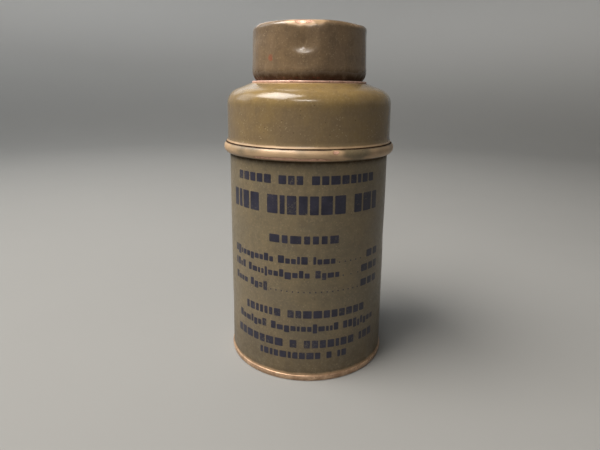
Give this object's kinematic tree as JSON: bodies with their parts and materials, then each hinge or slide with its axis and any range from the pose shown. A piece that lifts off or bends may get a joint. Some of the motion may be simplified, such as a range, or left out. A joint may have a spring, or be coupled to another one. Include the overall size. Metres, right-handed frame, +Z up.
{
  "type": "powder tin",
  "caption": "Round tinplate powder tin with a rolled bead, a slip-on domed shoulder and a revolving sifter cap.",
  "frame": {"origin": "middle of the foot plane, where the tin stands", "axes": "+Z up along the tin's axis, the printed front faces -Y, the side seam is at +Y"},
  "size_m": [0.0408, 0.0408, 0.0796],
  "materials": {
    "olive_paint": "satin",
    "cap_paint": "satin",
    "gold_lacquer": "satin",
    "bare_tinplate": "satin",
    "solder": "matte",
    "sealing_compound": "matte",
    "gasket": "matte"
  },
  "bodies": {
    "can": {"body_shell": "olive_paint", "seam_solder": "solder", "bottom_end": "gold_lacquer", "bottom_seal": "sealing_compound"},
    "dome_top": {"shoulder": "olive_paint", "sifter_neck": "bare_tinplate"},
    "turning_cap": {"turn_cap": "cap_paint", "cap_liner": "gasket"}
  },
  "joints": [
    {"name": "shoulder_lift", "type": "slide", "parent": "can", "child": "dome_top", "axis": [0, 0, 1], "range_m": [0, 0.02]},
    {"name": "cap_turn", "type": "hinge", "parent": "dome_top", "child": "turning_cap", "pos_m": [0, 0, 0.075], "axis": [0, 0, 1], "continuous": true}
  ]
}
